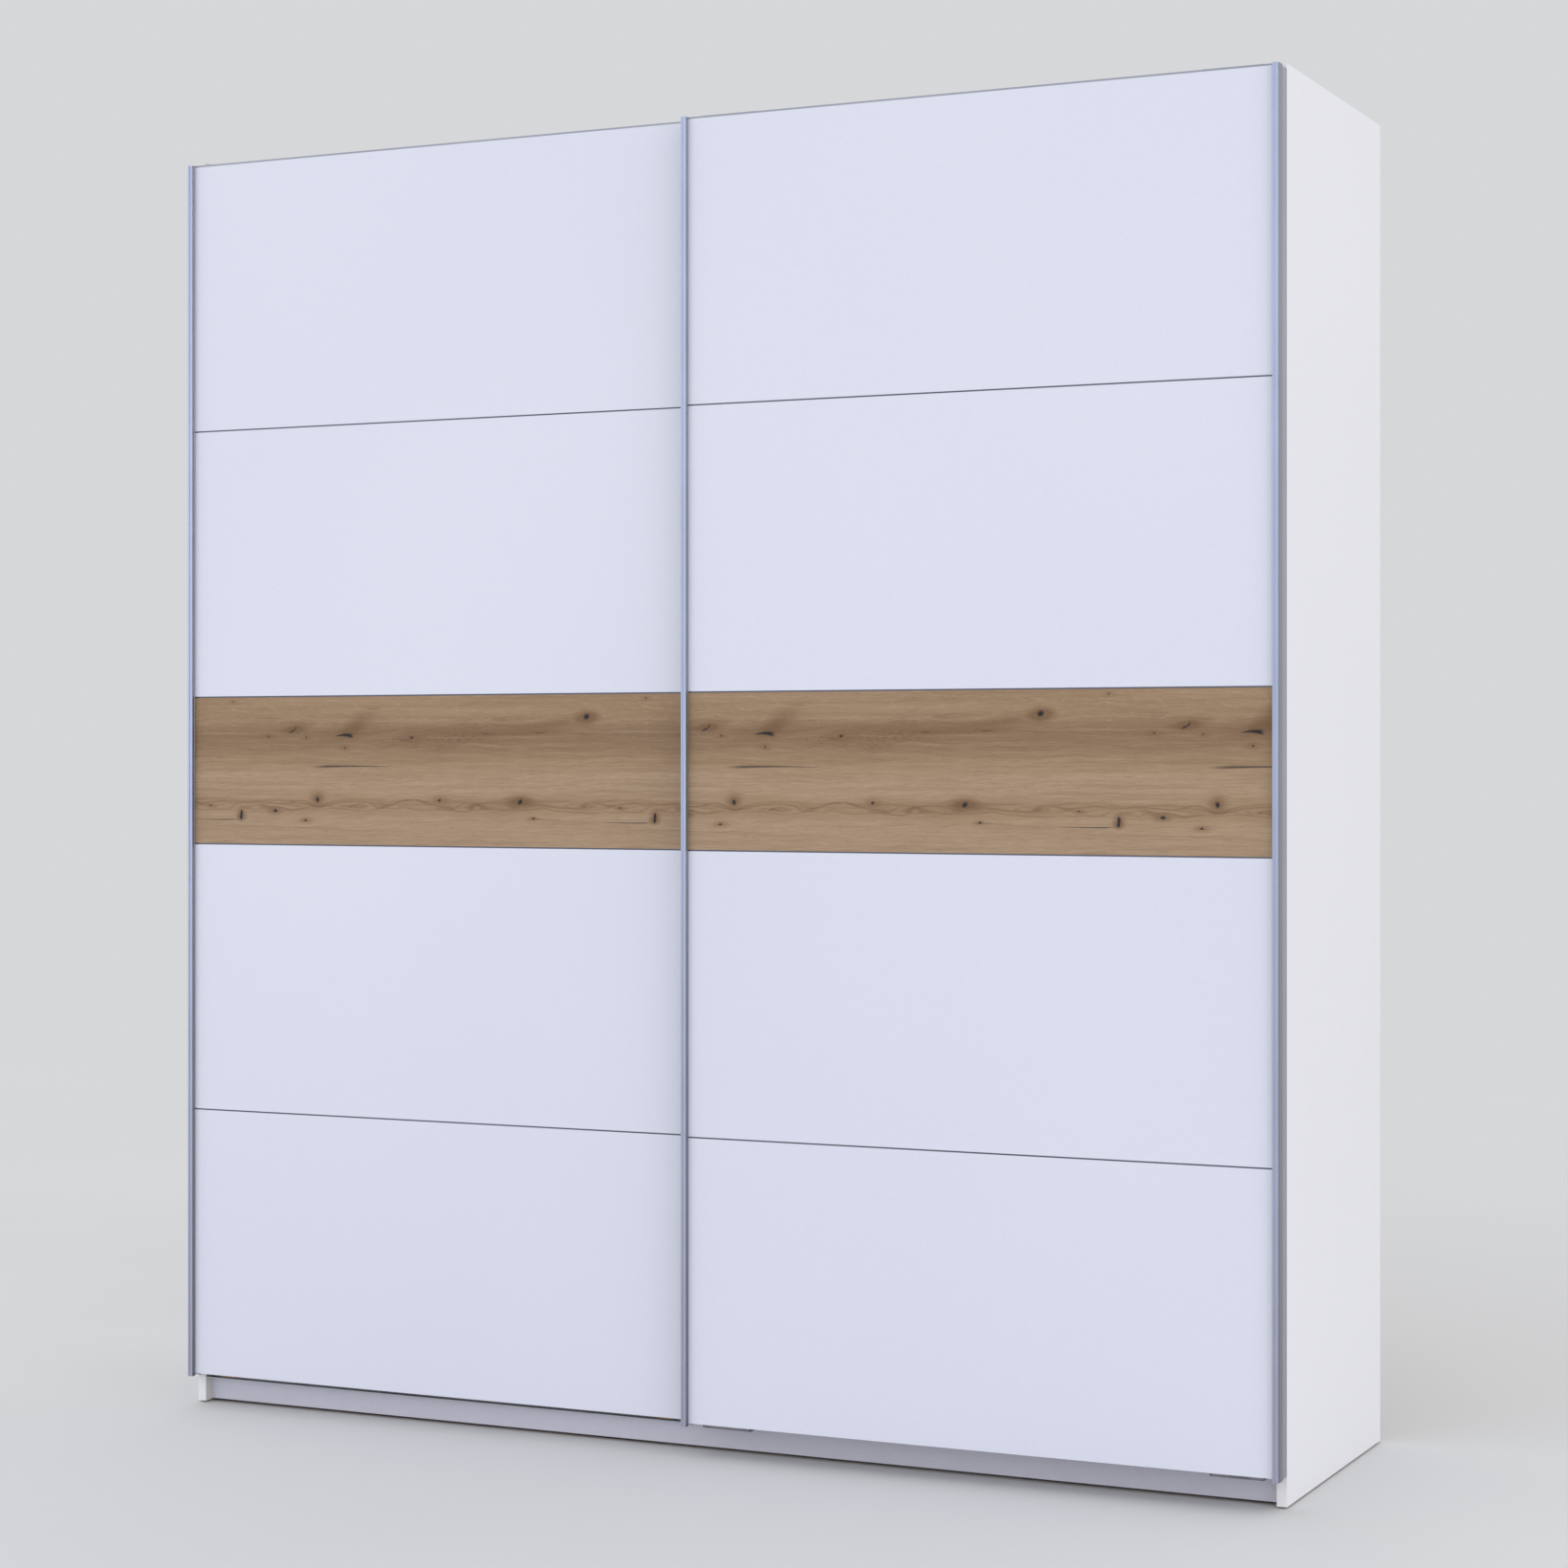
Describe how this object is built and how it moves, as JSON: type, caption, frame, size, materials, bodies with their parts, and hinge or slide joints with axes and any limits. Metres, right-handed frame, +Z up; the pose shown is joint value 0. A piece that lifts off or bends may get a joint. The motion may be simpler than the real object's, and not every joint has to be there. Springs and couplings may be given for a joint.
{
  "type": "sliding_door_wardrobe",
  "caption": "Free-standing wardrobe with white sliding doors crossed by an oak band, top-hung on rollers in a double track, with hat shelves and clothes rails inside.",
  "frame": {"origin": "centre of the bounding box's footprint, on the floor under the glides", "axes": "+X to the right as seen from the front, -Y to the front where the doors are, +Z up"},
  "size_m": [2, 0.6, 2.2],
  "materials": {
    "white_board": "white melamine-faced chipboard, satin",
    "oak_board": "oak decor melamine-faced chipboard, matt with pores",
    "back_hardboard": "white lacquered hardboard, matt",
    "aluminium_profile": "anodised extrusion, satin",
    "plated_steel": "zinc-plated bent sheet, semi-gloss",
    "fastener_steel": "zinc-plated, semi-gloss",
    "chromed_tube": "chrome-plated oval tube, gloss",
    "roller_nylon": "nylon, satin",
    "slider_nylon": "amber nylon, satin",
    "moulded_plastic": "grey moulded plastic, satin"
  },
  "bodies": {
    "carcass": {"back_joint_strip": "moulded_plastic", "back_sheet_left": "back_hardboard", "back_sheet_right": "back_hardboard", "bottom_panel": "white_board", "cam_fittings": "fastener_steel", "centre_partition": "white_board", "centre_support": "white_board", "clothes_rail_left": "chromed_tube", "clothes_rail_right": "chromed_tube", "fixing_screws": "fastener_steel", "floor_glides": "moulded_plastic", "gap_profile_right": "aluminium_profile", "guide_rail": "aluminium_profile", "hat_shelf_left": "white_board", "hat_shelf_right": "white_board", "plinth_front": "white_board", "plinth_rear": "white_board", "rail_sockets": "moulded_plastic", "shelf_pins": "fastener_steel", "side_panel_left": "white_board", "side_panel_right": "white_board", "top_panel": "white_board", "top_track": "aluminium_profile", "track_stops": "moulded_plastic", "wall_brackets": "plated_steel"},
    "left_door": {"left_door_axles": "fastener_steel", "left_door_carriages": "plated_steel", "left_door_cross_strips": "aluminium_profile", "left_door_guide_sliders": "slider_nylon", "left_door_guides": "plated_steel", "left_door_panel_bottom": "white_board", "left_door_panel_lower": "white_board", "left_door_panel_oak": "oak_board", "left_door_panel_top": "white_board", "left_door_panel_upper": "white_board", "left_door_screws": "fastener_steel", "left_door_stile_left": "aluminium_profile", "left_door_stile_right": "aluminium_profile"},
    "right_door": {"right_door_axles": "fastener_steel", "right_door_carriages": "plated_steel", "right_door_cross_strips": "aluminium_profile", "right_door_guide_sliders": "slider_nylon", "right_door_guides": "plated_steel", "right_door_panel_bottom": "white_board", "right_door_panel_lower": "white_board", "right_door_panel_oak": "oak_board", "right_door_panel_top": "white_board", "right_door_panel_upper": "white_board", "right_door_screws": "fastener_steel", "right_door_stile_left": "aluminium_profile", "right_door_stile_right": "aluminium_profile"},
    "left_roller_1": {"left_door_roller_1": "roller_nylon"},
    "left_roller_2": {"left_door_roller_2": "roller_nylon"},
    "left_roller_3": {"left_door_roller_3": "roller_nylon"},
    "left_roller_4": {"left_door_roller_4": "roller_nylon"},
    "right_roller_1": {"right_door_roller_1": "roller_nylon"},
    "right_roller_2": {"right_door_roller_2": "roller_nylon"},
    "right_roller_3": {"right_door_roller_3": "roller_nylon"},
    "right_roller_4": {"right_door_roller_4": "roller_nylon"}
  },
  "joints": [
    {"name": "left_door_slide", "type": "slide", "parent": "carcass", "child": "left_door", "axis": [1, 0, 0], "range_m": [0, 0.946]},
    {"name": "right_door_slide", "type": "slide", "parent": "carcass", "child": "right_door", "axis": [-1, 0, 0], "range_m": [0, 0.946]},
    {"name": "left_roller_1_spin", "type": "hinge", "parent": "left_door", "child": "left_roller_1", "pos_m": [-0.95, -0.2225, 2.167], "axis": [0, 1, 0], "range_deg": [0, 3190]},
    {"name": "left_roller_2_spin", "type": "hinge", "parent": "left_door", "child": "left_roller_2", "pos_m": [-0.894, -0.2225, 2.167], "axis": [0, 1, 0], "range_deg": [0, 3190]},
    {"name": "left_roller_3_spin", "type": "hinge", "parent": "left_door", "child": "left_roller_3", "pos_m": [-0.097, -0.2225, 2.167], "axis": [0, 1, 0], "range_deg": [0, 3190]},
    {"name": "left_roller_4_spin", "type": "hinge", "parent": "left_door", "child": "left_roller_4", "pos_m": [-0.041, -0.2225, 2.167], "axis": [0, 1, 0], "range_deg": [0, 3190]},
    {"name": "right_roller_1_spin", "type": "hinge", "parent": "right_door", "child": "right_roller_1", "pos_m": [0.041, -0.1885, 2.167], "axis": [0, 1, 0], "range_deg": [-3190, 0]},
    {"name": "right_roller_2_spin", "type": "hinge", "parent": "right_door", "child": "right_roller_2", "pos_m": [0.097, -0.1885, 2.167], "axis": [0, 1, 0], "range_deg": [-3190, 0]},
    {"name": "right_roller_3_spin", "type": "hinge", "parent": "right_door", "child": "right_roller_3", "pos_m": [0.894, -0.1885, 2.167], "axis": [0, 1, 0], "range_deg": [-3190, 0]},
    {"name": "right_roller_4_spin", "type": "hinge", "parent": "right_door", "child": "right_roller_4", "pos_m": [0.95, -0.1885, 2.167], "axis": [0, 1, 0], "range_deg": [-3190, 0]}
  ],
  "couplings": [
    {"joint": "left_roller_1_spin", "follows": "left_door_slide", "rad_per_m": 58.824},
    {"joint": "left_roller_2_spin", "follows": "left_door_slide", "rad_per_m": 58.824},
    {"joint": "left_roller_3_spin", "follows": "left_door_slide", "rad_per_m": 58.824},
    {"joint": "left_roller_4_spin", "follows": "left_door_slide", "rad_per_m": 58.824},
    {"joint": "right_roller_1_spin", "follows": "right_door_slide", "rad_per_m": -58.824},
    {"joint": "right_roller_2_spin", "follows": "right_door_slide", "rad_per_m": -58.824},
    {"joint": "right_roller_3_spin", "follows": "right_door_slide", "rad_per_m": -58.824},
    {"joint": "right_roller_4_spin", "follows": "right_door_slide", "rad_per_m": -58.824}
  ]
}
